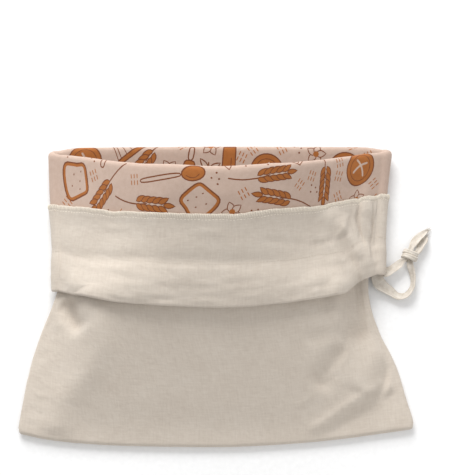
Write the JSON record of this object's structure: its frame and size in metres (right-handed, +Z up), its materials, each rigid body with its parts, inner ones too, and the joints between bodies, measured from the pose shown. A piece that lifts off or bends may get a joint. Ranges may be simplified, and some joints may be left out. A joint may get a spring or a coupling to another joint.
{
  "type": "linen bread bag",
  "caption": "Flat cloth bread bag lying on its back with its mouth standing open and turned down as a cuff, a printed lining inside and a flat drawcord knotted at one side.",
  "frame": {"origin": "middle of the bag's outline on the surface that it lies on", "axes": "+X toward the side with the drawcord, +Y toward the mouth, +Z up from the surface"},
  "size_m": [0.3623, 0.2695, 0.0894],
  "materials": {
    "natural_linen": "matt plain weave, undyed",
    "printed_lining": "matt cotton with a printed bakery design",
    "cotton_tape": "matt woven tape"
  },
  "bodies": {
    "root": {"outer_bag": "natural_linen", "lining": "printed_lining", "cord_strand_a": "cotton_tape", "cord_strand_b": "cotton_tape", "cord_knot": "cotton_tape", "cord_tail_a": "cotton_tape", "cord_tail_b": "cotton_tape"}
  },
  "joints": []
}
